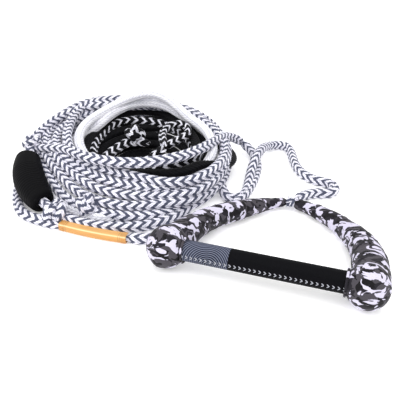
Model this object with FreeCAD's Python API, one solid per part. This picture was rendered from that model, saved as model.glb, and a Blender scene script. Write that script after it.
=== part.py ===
import FreeCAD, Part
import math
import os

os.makedirs("parts", exist_ok=True)
Vec = FreeCAD.Vector

# Tow rope handle for wakesurfing, laid on a flat surface. Millimetres.
# X runs along the bar, +Y from the bar to the tow rope, +Z up. The origin is on the surface,
# under the middle of the handle.

# ---- Bar and grip ---------------------------------------------------------------------------
BAR_Y = -89.0              # bar axis, in front of the origin
PAD_RADIUS = 29.0          # the end pads carry the bar this far above the surface
TUBE_RADIUS = 11.0
TUBE_WALL = 2.5
TUBE_HALF = 126.0
GRIP_RADIUS = 14.0
GRIP_HALF = 106.0
GRIP_JOINT_X = -41.0       # butt joint between the grey and the black sleeve
GRIP_EDGE = 1.2            # rolled ends of the sleeves
PLUG_FLANGE_RADIUS = 12.5
PLUG_FLANGE = 5.0
PLUG_SPIGOT = 22.0
PLUG_BORE_RADIUS = 5.0
PLUG_FLARE = 3.5           # radius that the rope bends over as it leaves the plug

# ---- Padded bridle --------------------------------------------------------------------------
BRIDLE_ROPE_RADIUS = 4.5
PAD_X = 128.0              # middle of each end pad
PAD_HALF = 26.0
PAD_SHOULDER = 24.0
COVER_WALL = 2.0           # neoprene
POCKET_RADIUS = 14.8       # room for the bar end to turn in the pad
POCKET_END = 131.8
# Each leg: x, y, z of its centre line and its outer diameter, from the end pad to the apex.
LEFT_LEG = [(-125, -74, 28, 40), (-114, -42, 27, 39), (-103, -8, 23, 33), (-88, 17, 21, 28),
            (-69, 41, 18, 27), (-47, 66, 15, 23), (-24, 88, 12, 17), (-5, 104, 10, 14)]
RIGHT_LEG = [(131, -74, 28, 40), (127, -36, 26, 38), (118, -8, 24, 36), (107, 15, 22, 33),
             (90, 42, 18, 28), (66, 68, 15, 22), (36, 90, 12, 17), (11, 104, 10, 14)]
# The load rope's way round each bar end, from the bar axis into the leg.
LEFT_TURN = [(-145, -89, 29), (-147, -73, 29), (-132, -57, 28)]
RIGHT_TURN = [(146, -89, 29), (149, -72, 29), (139, -53, 28)]
SPLICE_MIDDLE = Vec(3, 104, 11)
SPLICE_DIRECTION = Vec(0.42, 0.91, 0)
SPLICE_RADIUS = 11.0
SPLICE_LENGTH = 24.0

# ---- Tow rope -------------------------------------------------------------------------------
ROPE_RADIUS = 8.0
KNOT_RADIUS = 13.5
# From the bridle's apex, over a crossing, to the coil.
LEAD_ROUTE = [(7, 114, 10), (17, 136, 8), (34, 152, 8), (52, 157, 8), (69, 157, 8), (82, 164, 8),
              (87, 177, 8), (81, 190, 8), (66, 195, 8), (48, 191, 8), (28, 191, 8), (8, 201, 8),
              (-11, 223, 8), (-23, 254, 8), (-32, 283, 8), (-41, 299, 8), (-55, 304, 8),
              (-68, 297, 9), (-74, 281, 13), (-77, 258, 21), (-77, 230, 28), (-79, 200, 28),
              (-82, 169, 19), (-82, 138, 10), (-82, 113, 8), (-85, 97, 8), (-97, 86, 8),
              (-112, 88, 8), (-121, 101, 8), (-120, 117, 8)]
# The outermost loose turn: from the coil's left side round the front, past the handle and back.
OUTER_ROUTE = [(-430, 234, 26), (-448, 200, 20), (-460, 164, 13), (-464, 126, 9), (-462, 86, 8),
               (-450, 46, 8), (-430, 8, 8), (-403, -32, 8), (-370, -54.5, 8), (-334, -59.6, 7.4),
               (-295, -61.0, 6.6), (-250, -62.6, 6.6), (-205, -60.4, 6.6), (-167, -53, 7.4),
               (-143, -32, 8), (-124, -1, 8), (-103, 29, 8), (-83, 60, 8), (-68, 94, 8),
               (-60, 131, 8), (-65, 170, 8), (-80, 209, 8), (-97, 242, 8), (-117, 267, 14),
               (-144, 281, 24), (-174, 287, 30)]

# The float and the turn of rope that it slides on: an arc in a plane that leans to the front.
FLOAT_CENTRE = Vec(-256.6, 105.6, 70.6)
FLOAT_LEAN = 18.2          # degrees that the plane is turned about X
FLOAT_BEND = 172.6         # radius of the rope's centre line
FLOAT_START = 198.7
FLOAT_END = 240.0
FLOAT_RADIUS = 22.5
FLOAT_TIP_RADIUS = 17.5
FLOAT_BORE_RADIUS = 8.8
FLOAT_STEP = 15.0
UPPER_KNOT_ANGLE = 192.0
LOWER_KNOT_ANGLE = 246.5
FLOAT_TAIL = [(-290, -43, 13), (-256, -41, 9), (-222, -39, 9), (-192, -33, 9),
              (-168, -17, 9), (-152, 5, 9), (-141, 30, 9), (-138, 56, 10)]

# The box-section sleeve, pressed flat on the outermost turn so that it draws the braid thin.
SLEEVE_CENTRE = Vec(-250, 440, 6.6)
SLEEVE_BEND = 502.0
SLEEVE_HALF_ANGLE = 5.95
SLEEVE_WIDTH = 13.0
SLEEVE_HEIGHT = 11.6
SLEEVE_WALL = 1.0
SLEEVE_CORNER = 2.4
BAND_ANGLE = 0.8
BAND_STEP = 0.35           # height of the end bands above the sleeve's faces
PRESSED_RADIUS = 4.6       # the rope inside the sleeve
NECK_ANGLE = 0.5           # the rope is already thin this far outside the sleeve

# The coil: turns of rope that lean up towards the back, round an opening.
COIL_CENTRE = Vec(-277, 153, 0)
COIL_RADIUS = 178.0
HOLE_CENTRE = Vec(-258, 148, 0)
HOLE_STEPS = [54.0, 89.0, 109.0, 126.0]
COIL_LEAN = 3.9
COIL_FRONT_HEIGHT = 77.0
LOOP_CENTRE = Vec(-216, 196, 58)
LOOP_RADIUS = 22.0
# Knots that join the rope's sections, where they lie on the coil.
SECTION_KNOTS = {"knot_grey": Vec(-262, -15, 27), "knot_eye": Vec(-276, 178, 44)}

parts = {}


def save(name, shape):
    """Checks a sub-part and keeps it under its node name."""
    if not shape.isValid() or shape.Volume <= 0:
        print("PROBLEM in", name, "valid", shape.isValid(), "volume", shape.Volume)
    parts[name] = shape


def circle_wire(centre, normal, radius):
    return Part.Wire(Part.Circle(centre, normal, radius).toShape())


def turned_on_bar(profile):
    """A solid of revolution about the bar axis, from (x, radius) points."""
    points = [Vec(x, BAR_Y, PAD_RADIUS + r) for x, r in profile]
    face = Part.Face(Part.makePolygon(points + points[:1]))
    return face.revolve(Vec(0, BAR_Y, PAD_RADIUS), Vec(1, 0, 0), 360)


def bar_cylinder(radius, x0, x1):
    return Part.makeCylinder(radius, x1 - x0, Vec(x0, BAR_Y, PAD_RADIUS), Vec(1, 0, 0))


def mirrored(shape):
    return shape.mirror(Vec(0, 0, 0), Vec(1, 0, 0))


def rounded_route(points):
    """Straight runs joined by tangent arcs, each as large as its two runs allow."""
    points = [Vec(*p) for p in points]
    edges, radii, start = [], [], points[0]
    for before, corner, after in zip(points, points[1:], points[2:]):
        into, out = corner - before, after - corner
        reach = 0.45 * min(into.Length, out.Length)
        half = into.getAngle(out) / 2
        into.normalize()
        out.normalize()
        enter, leave = corner - into * reach, corner + out * reach
        bisector = (out - into).normalize()
        radius = reach / math.tan(half)
        middle = corner + bisector * (radius / math.cos(half) - radius)
        edges.append(Part.LineSegment(start, enter).toShape())
        edges.append(Part.Arc(enter, middle, leave).toShape())
        radii.append(radius)
        start = leave
    edges.append(Part.LineSegment(start, points[-1]).toShape())
    return Part.Wire(edges), radii


def rope_tube(name, points, radius):
    """A round rope along a route, with its radii and volume printed as a check."""
    wire, radii = rounded_route(points)
    first = Vec(*points[1]) - Vec(*points[0])
    tube = wire.makePipeShell([circle_wire(Vec(*points[0]), first, radius)], True, True)
    print(name, "length", round(wire.Length), "radii", [round(r) for r in radii])
    print("   volume / (section x length) =",
          round(tube.Volume / (math.pi * radius ** 2 * wire.Length), 3))
    return tube


def loft_along(stations, shrink=0.0):
    """A tapering round solid through stations of (x, y, z, diameter)."""
    centres = [Vec(*s[:3]) for s in stations]
    wires = []
    for i, station in enumerate(stations):
        tangent = centres[min(i + 1, len(centres) - 1)] - centres[max(i - 1, 0)]
        wires.append(circle_wire(centres[i], tangent, station[3] / 2 - shrink))
    return Part.makeLoft(wires, True, False)


# ---- The bar: aluminium tube, two foam grip sleeves, two end plugs that the rope runs through ----
def bar_tube():
    return bar_cylinder(TUBE_RADIUS, -TUBE_HALF, TUBE_HALF).cut(
        bar_cylinder(TUBE_RADIUS - TUBE_WALL, -TUBE_HALF, TUBE_HALF))


def grip_sleeve(x0, x1, rolled_x):
    """One sleeve, with its free end rolled over so that it doesn't catch the pad."""
    sleeve = bar_cylinder(GRIP_RADIUS, x0, x1).cut(bar_cylinder(TUBE_RADIUS, x0, x1))
    rim = [e for e in sleeve.Edges
           if abs(e.CenterOfMass.x - rolled_x) < 0.01 and abs(e.Curve.Radius - GRIP_RADIUS) < 0.01]
    return sleeve.makeFillet(GRIP_EDGE, rim)


def end_plug():
    """The right plug: spigot in the tube, flange against its end, bore flared for the rope."""
    outer_x = TUBE_HALF + PLUG_FLANGE
    inner = TUBE_RADIUS - TUBE_WALL
    plug = turned_on_bar([(TUBE_HALF - PLUG_SPIGOT, PLUG_BORE_RADIUS),
                          (TUBE_HALF - PLUG_SPIGOT, inner - 1), (TUBE_HALF - PLUG_SPIGOT + 2, inner),
                          (TUBE_HALF, inner), (TUBE_HALF, PLUG_FLANGE_RADIUS),
                          (outer_x, PLUG_FLANGE_RADIUS), (outer_x, PLUG_BORE_RADIUS)])
    mouth = [e for e in plug.Edges if abs(e.CenterOfMass.x - outer_x) < 0.01
             and hasattr(e.Curve, "Radius") and abs(e.Curve.Radius - PLUG_BORE_RADIUS) < 0.01]
    rim = [e for e in plug.Edges if abs(e.CenterOfMass.x - outer_x) < 0.01
           and hasattr(e.Curve, "Radius") and abs(e.Curve.Radius - PLUG_FLANGE_RADIUS) < 0.01]
    return plug.makeFillet(PLUG_FLARE, mouth).makeFillet(1.0, rim)


save("bar_tube", bar_tube())
save("grip_sleeve_grey", grip_sleeve(-GRIP_HALF, GRIP_JOINT_X, -GRIP_HALF))
save("grip_sleeve_black", grip_sleeve(GRIP_JOINT_X, GRIP_HALF, GRIP_HALF))
save("end_plug_right", end_plug())
save("end_plug_left", mirrored(end_plug()))


# ---- The bridle: one rope through the bar and both legs, foam over it, neoprene over the foam ----
def bridle_route():
    left = [s[:3] for s in LEFT_LEG[1:]]
    right = [s[:3] for s in RIGHT_LEG[1:]]
    return left[::-1] + LEFT_TURN[::-1] + RIGHT_TURN + right


def pad_barrel(grow=0.0):
    """The right end pad's outer form: a barrel on the bar axis with fully rounded shoulders."""
    radius, half = PAD_RADIUS + grow, PAD_HALF + grow
    barrel = bar_cylinder(radius, PAD_X - half, PAD_X + half)
    rims = [e for e in barrel.Edges if hasattr(e.Curve, "Radius") and e.Closed]
    return barrel.makeFillet(PAD_SHOULDER + grow, rims)


bridle_rope = rope_tube("bridle_rope", bridle_route(), BRIDLE_ROPE_RADIUS)
splice_axis = Vec(SPLICE_DIRECTION).normalize()
splice = Part.makeCylinder(SPLICE_RADIUS, SPLICE_LENGTH,
                           SPLICE_MIDDLE - splice_axis * (SPLICE_LENGTH / 2), splice_axis)
splice = splice.makeFillet(4.0, [e for e in splice.Edges if e.Closed])
pocket = bar_cylinder(POCKET_RADIUS, PAD_X - PAD_HALF - 5, POCKET_END)
right_pad = pad_barrel().cut(pocket)
right_pad_core = pad_barrel(-COVER_WALL).cut(pocket)

save("bridle_rope", bridle_rope.cut(splice))
save("apex_splice", splice)
for side, leg, turn in (("left", LEFT_LEG, mirrored), ("right", RIGHT_LEG, lambda s: s)):
    whole_pad = turn(pad_barrel())
    leg_form = loft_along(leg)
    leg_core = loft_along(leg, COVER_WALL)
    save("leg_cover_" + side,
         leg_form.cut(leg_core).cut(whole_pad).cut(bridle_rope).cut(splice))
    save("leg_foam_" + side, leg_core.cut(whole_pad).cut(bridle_rope).cut(splice))
    save("pad_cover_" + side, turn(right_pad).cut(turn(pad_barrel(-COVER_WALL))).cut(bridle_rope))
    save("pad_foam_" + side, turn(right_pad_core).cut(bridle_rope))


# ---- The tow rope's loose stretches --------------------------------------------------------------
def float_point(angle, bend=FLOAT_BEND):
    """A point on the float's arc, by its angle in the leaning plane."""
    lean, turn = math.radians(FLOAT_LEAN), math.radians(angle)
    return FLOAT_CENTRE + Vec(bend * math.cos(turn), bend * math.sin(turn) * math.cos(lean),
                              bend * math.sin(turn) * math.sin(lean))


def float_route():
    """Arc points that stand off the arc a little, so that the rope itself follows it."""
    outside = FLOAT_BEND / math.cos(math.radians(FLOAT_STEP / 2))
    arc = [float_point(LOWER_KNOT_ANGLE - FLOAT_STEP * i, outside) for i in range(5)][::-1]
    return [(p.x, p.y, p.z) for p in arc] + FLOAT_TAIL


save("rope_lead", rope_tube("rope_lead", LEAD_ROUTE, ROPE_RADIUS))
save("rope_float_turn", rope_tube("rope_float_turn", float_route(), ROPE_RADIUS))


# ---- The float: a bent barrel of closed-cell foam, free to slide between two knots ----------------
def float_arc(start, end):
    points = [float_point(a) for a in (start, (start + end) / 2, end)]
    return Part.Wire(Part.Arc(*points).toShape())


def along_float_arc(start, end, radius):
    """A round solid along the arc."""
    wire = float_arc(start, end)
    tangent = wire.Edges[0].tangentAt(wire.Edges[0].FirstParameter)
    section = circle_wire(float_point(start), tangent, radius)
    return wire.makePipeShell([section], True, True)


def float_body():
    """Circles along the arc, swelling from the tips to the middle, lofted and bored."""
    stations = 9
    wires = []
    lean = math.radians(FLOAT_LEAN)
    normal = Vec(0, -math.sin(lean), math.cos(lean))
    for i in range(stations):
        share = i / (stations - 1)
        angle = FLOAT_START + share * (FLOAT_END - FLOAT_START)
        swell = 1 - abs(2 * share - 1) ** 2.6
        radius = FLOAT_TIP_RADIUS + (FLOAT_RADIUS - FLOAT_TIP_RADIUS) * swell
        tangent = normal.cross(float_point(angle) - FLOAT_CENTRE)
        wires.append(circle_wire(float_point(angle), tangent, radius))
    body = Part.makeLoft(wires, True, False)
    return body.cut(along_float_arc(FLOAT_START - 3, FLOAT_END + 3, FLOAT_BORE_RADIUS))


save("rope_float", float_body())
for name, angle in (("knot_upper", UPPER_KNOT_ANGLE), ("knot_lower", LOWER_KNOT_ANGLE)):
    save(name, Part.makeSphere(KNOT_RADIUS, float_point(angle)))


# ---- The sleeve: a thin curved box pressed on the outermost turn, a raised band at each end --------
def box_along_sleeve(width, height, corner, half_angle, start=None):
    """A rounded box section along the sleeve's arc, between two angles."""
    start = -half_angle if start is None else start

    def at(angle):
        turn = math.radians(angle - 90)
        return SLEEVE_CENTRE + Vec(math.cos(turn), math.sin(turn), 0) * SLEEVE_BEND
    wire = Part.Wire(Part.Arc(at(start), at((start + half_angle) / 2), at(half_angle)).toShape())
    block = Part.makeBox(width, height, 1, Vec(-width / 2, -height / 2, 0))
    block = block.makeFillet(corner, [e for e in block.Edges if e.Length < 1.5])
    bottom = [f for f in block.Faces if abs(f.CenterOfMass.z) < 1e-6][0]
    section = bottom.OuterWire.copy()
    section.rotate(Vec(0, 0, 0), Vec(0, 0, 1), 90)
    section.rotate(Vec(0, 0, 0), Vec(0, 1, 0), 90)
    section.rotate(Vec(0, 0, 0), Vec(0, 0, 1), start)
    section.translate(at(start))
    return wire.makePipeShell([section], True, True)


def sleeve_shell(grow, start, end):
    """The wall of the sleeve or of a band, between two angles."""
    bore = box_along_sleeve(SLEEVE_WIDTH - 2 * SLEEVE_WALL, SLEEVE_HEIGHT - 2 * SLEEVE_WALL,
                            SLEEVE_CORNER - SLEEVE_WALL, end + 1, start - 1)
    return box_along_sleeve(SLEEVE_WIDTH + 2 * grow, SLEEVE_HEIGHT + 2 * grow,
                            SLEEVE_CORNER + grow, end, start).cut(bore)


body_end = SLEEVE_HALF_ANGLE - BAND_ANGLE
save("marker_sleeve", sleeve_shell(0, -body_end, body_end))
save("sleeve_band_left", sleeve_shell(BAND_STEP, -SLEEVE_HALF_ANGLE, -body_end))
save("sleeve_band_right", sleeve_shell(BAND_STEP, body_end, SLEEVE_HALF_ANGLE))

neck_room = box_along_sleeve(40, 40, 4, SLEEVE_HALF_ANGLE + NECK_ANGLE)
full_rope = rope_tube("rope_outer_turn", OUTER_ROUTE, ROPE_RADIUS)
pressed_rope = rope_tube("rope_outer_turn, pressed", OUTER_ROUTE, PRESSED_RADIUS)
save("rope_outer_turn", full_rope.cut(neck_room).fuse(pressed_rope))


# ---- The coil: the outer shape of the turns, in four rings of rope that nest ----------------------
def leaning_space(drop=0.0):
    """Everything under the coil's top, which rises towards the back."""
    front = Vec(COIL_CENTRE.x, COIL_CENTRE.y - COIL_RADIUS, COIL_FRONT_HEIGHT - drop)
    block = Part.makeBox(600, 600, 200, front + Vec(-300, -100, -200))
    block.rotate(front, Vec(1, 0, 0), COIL_LEAN)
    return block


def coil_mound():
    """The outer form, turned about the coil's axis: steep at the foot, domed at the shoulder."""
    r = COIL_RADIUS
    points = [Vec(0, 0, 0), Vec(r - 3, 0, 0), Vec(r, 0, 10), Vec(r - 2, 0, 30), Vec(r - 12, 0, 50),
              Vec(r - 24, 0, 66), Vec(r - 40, 0, 84), Vec(r - 52, 0, 93), Vec(0, 0, 99)]
    mound = Part.Face(Part.makePolygon(points + points[:1])).revolve(
        Vec(0, 0, 0), Vec(0, 0, 1), 360)
    mound.translate(COIL_CENTRE)
    return mound


def hole_ring(inner, outer, height):
    """A ring round the opening."""
    ring = Part.makeCylinder(outer, height, HOLE_CENTRE)
    return ring.cut(Part.makeCylinder(inner, height, HOLE_CENTRE)) if inner else ring


float_room = along_float_arc(FLOAT_START - 8, FLOAT_END + 8, FLOAT_RADIUS + 3)
bw, black, white, grey = HOLE_STEPS
grey_turns = coil_mound().common(leaning_space()).cut(hole_ring(0, grey, 200)).cut(float_room)
for name, centre in SECTION_KNOTS.items():
    save(name, Part.makeSphere(KNOT_RADIUS, centre))
save("coil_grey", grey_turns.cut(parts["knot_grey"]))
save("coil_white", hole_ring(white, grey, 200).common(leaning_space()))
save("coil_black", hole_ring(black, white, 200).common(leaning_space(20)))
save("coil_black_white", hole_ring(bw, black, 42).cut(parts["knot_eye"]))
save("tow_loop", Part.makeTorus(LOOP_RADIUS, ROPE_RADIUS, LOOP_CENTRE, Vec(-0.2, -0.5, 0.84)))

for name, shape in parts.items():
    shape.exportStep("parts/" + name + ".step")
print(len(parts), "sub-parts")
handle = [parts[n] for n in parts if n.startswith(("bar", "grip", "end", "leg", "pad", "bridle",
                                                   "apex"))]
box = Part.makeCompound(handle).optimalBoundingBox()
print("handle", [round(v, 1) for v in (box.XMin, box.XMax, box.YMin, box.YMax, box.ZMin, box.ZMax)])
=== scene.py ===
import math
import bpy
import numpy as np
from mathutils import Matrix, Vector, noise as mathutils_noise


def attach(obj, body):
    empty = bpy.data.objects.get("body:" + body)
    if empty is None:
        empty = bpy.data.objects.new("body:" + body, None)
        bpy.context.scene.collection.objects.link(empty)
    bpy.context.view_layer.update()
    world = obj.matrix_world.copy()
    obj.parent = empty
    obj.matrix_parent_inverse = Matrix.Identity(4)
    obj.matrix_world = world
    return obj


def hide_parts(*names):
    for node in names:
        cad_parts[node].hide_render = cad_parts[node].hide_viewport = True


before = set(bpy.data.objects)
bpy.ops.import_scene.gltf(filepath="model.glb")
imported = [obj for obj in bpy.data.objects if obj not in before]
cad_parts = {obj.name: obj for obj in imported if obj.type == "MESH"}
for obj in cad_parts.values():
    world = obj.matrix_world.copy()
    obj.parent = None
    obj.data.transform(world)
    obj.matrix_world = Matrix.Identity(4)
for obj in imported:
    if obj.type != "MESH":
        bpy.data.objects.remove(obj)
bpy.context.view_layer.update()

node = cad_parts

# ------------------------------------------------------------------------------------------------
# The bar: an aluminium tube under the grip, and the two nylon plugs pressed into its ends. The
# load rope runs through both, so the plugs' mouths are flared and polished by it.


def new_finish(name, colour, roughness):
    """A finish with its shader's base set, and handles to build its pattern with."""
    finish = bpy.data.materials.new(name)
    finish.use_nodes = True
    shader = finish.node_tree.nodes["Principled BSDF"]
    shader.inputs["Base Color"].default_value = (*colour, 1)
    shader.inputs["Roughness"].default_value = roughness
    return finish, finish.node_tree.nodes, finish.node_tree.links, shader


def add_math(nodes, links, operation, a, b=None, c=None):
    """One Math node; each input is a number or another node's output."""
    made = nodes.new("ShaderNodeMath")
    made.operation = operation
    for socket, value in zip(made.inputs, (a, b, c)):
        if isinstance(value, (int, float)):
            socket.default_value = value
        elif value is not None:
            links.new(value, socket)
    return made.outputs[0]


def add_noise(nodes, links, where, scale, detail=3.0, roughness=0.5, distortion=0.0):
    """A Noise texture read at a vector output."""
    made = nodes.new("ShaderNodeTexNoise")
    made.inputs["Scale"].default_value = scale
    made.inputs["Detail"].default_value = detail
    made.inputs["Roughness"].default_value = roughness
    made.inputs["Distortion"].default_value = distortion
    links.new(where, made.inputs["Vector"])
    return made.outputs["Fac"]


def add_ramp(nodes, links, value, stops, interpolation="LINEAR"):
    """A Color Ramp over value; stops are (position, (r, g, b))."""
    made = nodes.new("ShaderNodeValToRGB")
    made.color_ramp.interpolation = interpolation
    while len(made.color_ramp.elements) < len(stops):
        made.color_ramp.elements.new(0.5)
    for element, (position, colour) in zip(made.color_ramp.elements, stops):
        element.position = position
        element.color = (*colour, 1)
    links.new(value, made.inputs["Fac"])
    return made.outputs["Color"]


def add_mix(nodes, links, factor, a, b, blend="MIX"):
    """A colour Mix node; the colours and the factor are values or outputs."""
    made = nodes.new("ShaderNodeMix")
    made.data_type = "RGBA"
    made.blend_type = blend
    for socket, value in ((made.inputs["Factor"], factor), (made.inputs["A"], a), (made.inputs["B"], b)):
        if isinstance(value, (int, float)):
            socket.default_value = value
        elif isinstance(value, tuple):
            socket.default_value = (*value, 1)
        else:
            links.new(value, socket)
    return made.outputs["Result"]


def add_bump(nodes, links, shader, height, distance, strength=1.0):
    """A Bump node into the shader's normal, chained after one that is already there."""
    made = nodes.new("ShaderNodeBump")
    made.inputs["Distance"].default_value = distance
    made.inputs["Strength"].default_value = strength
    links.new(height, made.inputs["Height"])
    if shader.inputs["Normal"].links:
        links.new(shader.inputs["Normal"].links[0].from_socket, made.inputs["Normal"])
    links.new(made.outputs["Normal"], shader.inputs["Normal"])


def object_place(nodes, links, scale=(1, 1, 1), location=(0, 0, 0)):
    """Object coordinates through a Mapping node."""
    coordinates = nodes.new("ShaderNodeTexCoord")
    mapping = nodes.new("ShaderNodeMapping")
    mapping.inputs["Scale"].default_value = scale
    mapping.inputs["Location"].default_value = location
    links.new(coordinates.outputs["Object"], mapping.inputs["Vector"])
    return mapping.outputs["Vector"]


def dress(piece, finish):
    """The finish fills the piece's material slots."""
    if not piece.material_slots:
        piece.data.materials.append(finish)
    for material_slot in piece.material_slots:
        material_slot.material = finish


aluminium, nodes, links, shader = new_finish("brushed_aluminium", (0.72, 0.73, 0.75), 0.3)
shader.inputs["Metallic"].default_value = 1.0
drawn = add_noise(nodes, links, object_place(nodes, links, (30, 900, 900)), 1.0, 4)
links.new(add_ramp(nodes, links, drawn, [(0.3, (0.24,) * 3), (0.7, (0.4,) * 3)]), shader.inputs["Roughness"])
add_bump(nodes, links, shader, drawn, 0.0001, 0.3)
dress(node["bar_tube"], aluminium)

plug_nylon, nodes, links, shader = new_finish("moulded_nylon", (0.012, 0.012, 0.014), 0.42)
grain = add_noise(nodes, links, object_place(nodes, links), 900, 2)
add_bump(nodes, links, shader, grain, 0.0001, 0.4)
dress(node["end_plug_left"], plug_nylon)
dress(node["end_plug_right"], plug_nylon)

# ------------------------------------------------------------------------------------------------
# The grip: two moulded foam sleeves slid onto the tube and butted together. The grey one carries
# thin curved contour lines, the black one is plain, and one seam of thread runs along both.

BAR_Y, BAR_Z, GRIP_RADIUS = -0.089, 0.029, 0.014


def round_the_bar(nodes, links):
    """The place on the grip rolled out flat: x along the bar, y round it, 0 at the front."""
    place = nodes.new("ShaderNodeSeparateXYZ")
    links.new(object_place(nodes, links, location=(0, -BAR_Y, -BAR_Z)), place.inputs[0])
    forward = add_math(nodes, links, "MULTIPLY", place.outputs["Y"], -1.0)
    angle = add_math(nodes, links, "ARCTAN2", place.outputs["Z"], forward)
    return place.outputs["X"], add_math(nodes, links, "MULTIPLY", angle, GRIP_RADIUS)


def foam_skin(nodes, links, shader):
    """Fine closed cells, with a slight unevenness under them."""
    cells = add_noise(nodes, links, object_place(nodes, links), 1500, 2)
    swell = add_noise(nodes, links, object_place(nodes, links), 70, 2)
    add_bump(nodes, links, shader, cells, 0.00012, 0.5)
    add_bump(nodes, links, shader, swell, 0.0006, 0.25)
    return cells


FULL, NONE = (1, 1, 1), (0, 0, 0)      # the two ends of a mask
FOAM_SPECULAR = 0.06

black_foam, nodes, links, shader = new_finish("black_grip_foam", (0.002, 0.002, 0.003), 0.6)
cells = foam_skin(nodes, links, shader)
links.new(add_ramp(nodes, links, cells, [(0.3, (0.001, 0.001, 0.0015)), (0.75, (0.004, 0.004, 0.006))]),
          shader.inputs["Base Color"])
shader.inputs["Specular IOR Level"].default_value = FOAM_SPECULAR
dress(node["grip_sleeve_black"], black_foam)

# The contours are uneven rings round a point on the grip's face, and stop short of the joint.
CONTOUR_X, CONTOUR_UP, CONTOUR_PITCH, CONTOUR_WANDER = -0.066, -0.0075, 0.0027, 0.003
CONTOUR_COLOUR, GREY_SPECULAR = (0.24, 0.26, 0.36), 0.12

grey_foam, nodes, links, shader = new_finish("grey_grip_foam", (0.05, 0.058, 0.09), 0.55)
cells = foam_skin(nodes, links, shader)
along, around = round_the_bar(nodes, links)
across = add_math(nodes, links, "SUBTRACT", along, CONTOUR_X)
upward = add_math(nodes, links, "SUBTRACT", around, CONTOUR_UP)
wander = add_noise(nodes, links, object_place(nodes, links), 38, 1)
radius = add_math(nodes, links, "SQRT", add_math(
    nodes, links, "ADD", add_math(nodes, links, "MULTIPLY", across, across),
    add_math(nodes, links, "MULTIPLY", upward, upward)))
radius = add_math(nodes, links, "MULTIPLY_ADD", wander, CONTOUR_WANDER, radius)
ring = add_math(nodes, links, "FRACT", add_math(nodes, links, "DIVIDE", radius, CONTOUR_PITCH))
line_share = add_ramp(nodes, links, ring, [
    (0.0, FULL), (0.10, FULL), (0.24, NONE), (0.90, NONE), (1.0, FULL)])
inside = add_ramp(nodes, links, radius, [(0.0, FULL), (0.044, FULL), (0.047, NONE)])
ground = add_ramp(nodes, links, radius, [(0.006, (0.006, 0.008, 0.014)), (0.03, (0.030, 0.035, 0.057))])
contours = add_mix(nodes, links, 1.0, line_share, inside, "MULTIPLY")
lined = add_mix(nodes, links, contours, ground, CONTOUR_COLOUR)
links.new(lined, shader.inputs["Base Color"])
shader.inputs["Specular IOR Level"].default_value = GREY_SPECULAR
dress(node["grip_sleeve_grey"], grey_foam)

# The seam's thread: small V stitches, pointing along the bar, each pulled into the foam's face.
STITCH_PITCH, STITCH_COUNT, STITCH_LEAN = 0.0063, 33, math.radians(36)
STITCH_HALF_SIZES, STITCH_SPREAD, STITCH_PROUD = (0.0021, 0.00062, 0.0005), 0.00115, 0.0001


def deselect_all():
    """Leaves edit mode and clears the selection, so that an operator acts on nothing else."""
    if bpy.context.object and bpy.context.object.mode != "OBJECT":
        bpy.ops.object.mode_set(mode="OBJECT")
    bpy.ops.object.select_all(action="DESELECT")


def join_pieces(name, group):
    """One piece from several, with its place in its mesh."""
    deselect_all()
    for piece in group:
        piece.select_set(True)
    bpy.context.view_layer.objects.active = group[0]
    bpy.ops.object.join()
    bpy.ops.object.transform_apply(location=True, rotation=True, scale=True)
    group[0].name = name
    return group[0]


legs = []
for side in (1, -1):
    deselect_all()
    bpy.ops.mesh.primitive_uv_sphere_add(segments=8, ring_count=6, radius=1.0)
    stitch_leg = bpy.context.object
    stitch_leg.scale = STITCH_HALF_SIZES
    stitch_leg.rotation_euler = (0, 0, -side * STITCH_LEAN)
    stitch_leg.location = (0, side * STITCH_SPREAD, 0)
    legs.append(stitch_leg)
stitch = join_pieces("stitch", legs)
bpy.ops.object.shade_smooth()
stitches = [stitch]
for i in range(1, STITCH_COUNT):
    copy = stitch.copy()
    copy.data = stitch.data.copy()
    bpy.context.collection.objects.link(copy)
    stitches.append(copy)
for i, piece in enumerate(stitches):
    x = (i - (STITCH_COUNT - 1) / 2) * STITCH_PITCH
    face = Vector((x, BAR_Y - GRIP_RADIUS - STITCH_PROUD, BAR_Z))
    piece.matrix_world = Matrix.Translation(face) @ Matrix.Rotation(math.pi / 2, 4, "X")
seam = join_pieces("grip_seam", stitches)
thread, nodes, links, shader = new_finish("grip_thread", (0.42, 0.43, 0.48), 0.7)
twist = add_noise(nodes, links, object_place(nodes, links), 2500, 2)
links.new(add_ramp(nodes, links, twist, [(0.3, (0.25, 0.26, 0.3)), (0.7, (0.55, 0.56, 0.62))]),
          shader.inputs["Base Color"])
dress(seam, thread)
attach(seam, "bar")

# ------------------------------------------------------------------------------------------------
# The bridle: one load rope that runs through the bar and up both sides. Each side is a foam leg and
# a round foam end pad in one cover of printed neoprene, sewn shut along its outer edge, with a bound
# mouth that the end of the bar turns in. The legs' thin ends are whipped together at the apex.

LEGS = {  # x, y, z and diameter along each leg in millimetres, from its pad to the apex
    "left": [(-125, -74, 28, 42), (-114, -42, 27, 40), (-103, -8, 23, 35), (-88, 17, 21, 33),
             (-69, 41, 18, 31), (-47, 66, 15, 25), (-24, 88, 12, 18), (-5, 104, 10, 14)],
    "right": [(129, -74, 28, 48), (126, -36, 26, 45), (118, -8, 24, 41), (107, 15, 22, 36), (90, 42, 18, 30),
              (66, 68, 15, 26), (36, 90, 12, 20), (5, 104, 10, 16)]}
PAD_X, PAD_HALF, PAD_RADIUS = 0.1262, 0.0272, 0.0285
POCKET_START, POCKET_END, POCKET_RADIUS = 0.0900, 0.1318, 0.0149
LEG_STEP, COVER_VOXEL, COVER_SWELL = 0.003, 0.0032, 0.003
GATHER_DEPTH, FINE_GATHER_DEPTH, FLOOR_GAP = 0.0011, 0.0005, 0.0003
MOUTH_X, MOUTH_RADIUS, MOUTH_CORD_RADIUS = 0.1020, POCKET_RADIUS + 0.0013, 0.0017
SEAM_RADIUS, SEAM_STEP, SEAM_PROUD = 0.0013, 0.002, 0.0002
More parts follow.
